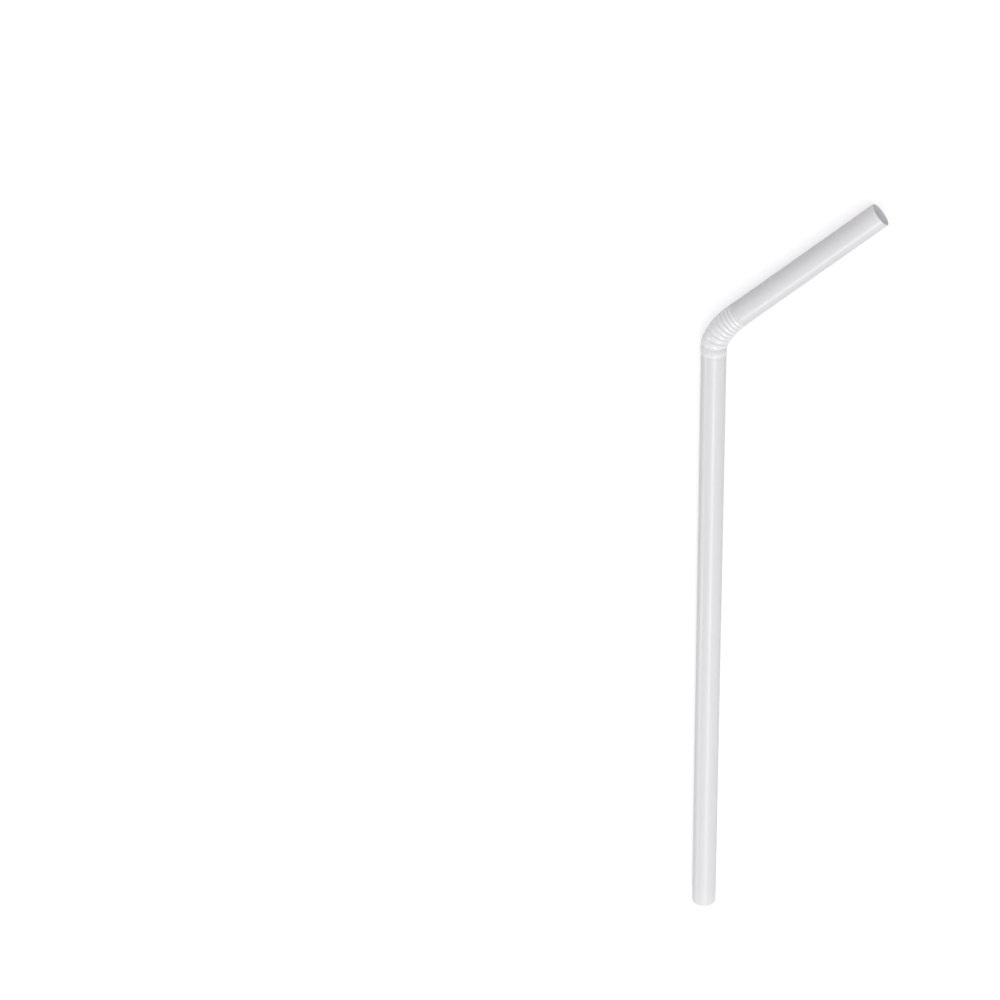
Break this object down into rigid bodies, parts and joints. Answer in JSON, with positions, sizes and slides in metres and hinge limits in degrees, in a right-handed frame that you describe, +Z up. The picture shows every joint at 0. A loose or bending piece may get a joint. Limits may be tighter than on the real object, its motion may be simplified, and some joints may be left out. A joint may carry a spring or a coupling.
{
  "type": "plastic drinking straw",
  "caption": "Thin-walled flexible drinking straw, bent at its pleated elbow, with a long leg and a short mouth tube.",
  "frame": {"origin": "middle of the lying straw's outline on the surface it lies on", "axes": "+Z up, square to the plane of the bend; +Y along the long leg from the foot towards the elbow; +X to the side that the mouth tube bends to"},
  "size_m": [0.0422, 0.1994, 0.0062],
  "materials": {
    "straw": "white, slightly translucent polypropylene with a soft sheen"
  },
  "bodies": {
    "root": {"straw": "straw"}
  },
  "joints": []
}
